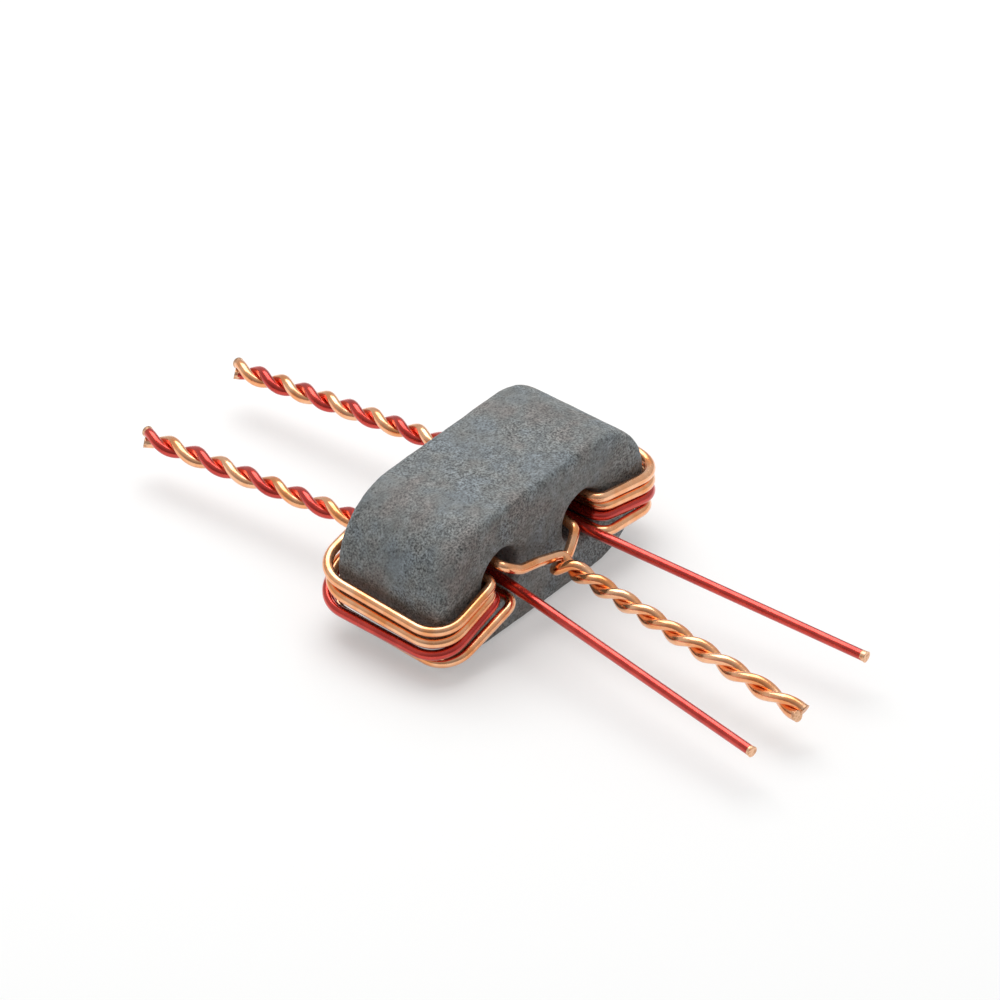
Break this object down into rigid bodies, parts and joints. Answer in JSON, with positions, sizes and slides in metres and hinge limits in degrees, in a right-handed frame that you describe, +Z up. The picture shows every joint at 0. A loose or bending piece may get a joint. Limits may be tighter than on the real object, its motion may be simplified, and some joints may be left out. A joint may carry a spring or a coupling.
{
  "type": "rf balun",
  "caption": "Two-hole ferrite core wound with copper-coloured and red enamelled wires, their ends left as straight and twisted leads for soldering.",
  "frame": {"origin": "centre of the core's flat underside", "axes": "+X to the right seen from the front, +Y along the holes from the single red leads at the front to the red and copper pairs at the back, +Z up"},
  "size_m": [0.0056, 0.0125, 0.0024],
  "materials": {
    "ferrite": "dull, finely grained dark grey fired ferrite",
    "copper_enamel": "glossy clear enamel over copper",
    "red_enamel": "glossy red enamel over copper"
  },
  "bodies": {
    "root": {"ferrite_core": "ferrite", "left_copper_wire": "copper_enamel", "left_red_wire": "red_enamel", "right_copper_wire": "copper_enamel", "right_red_wire": "red_enamel"}
  },
  "joints": []
}
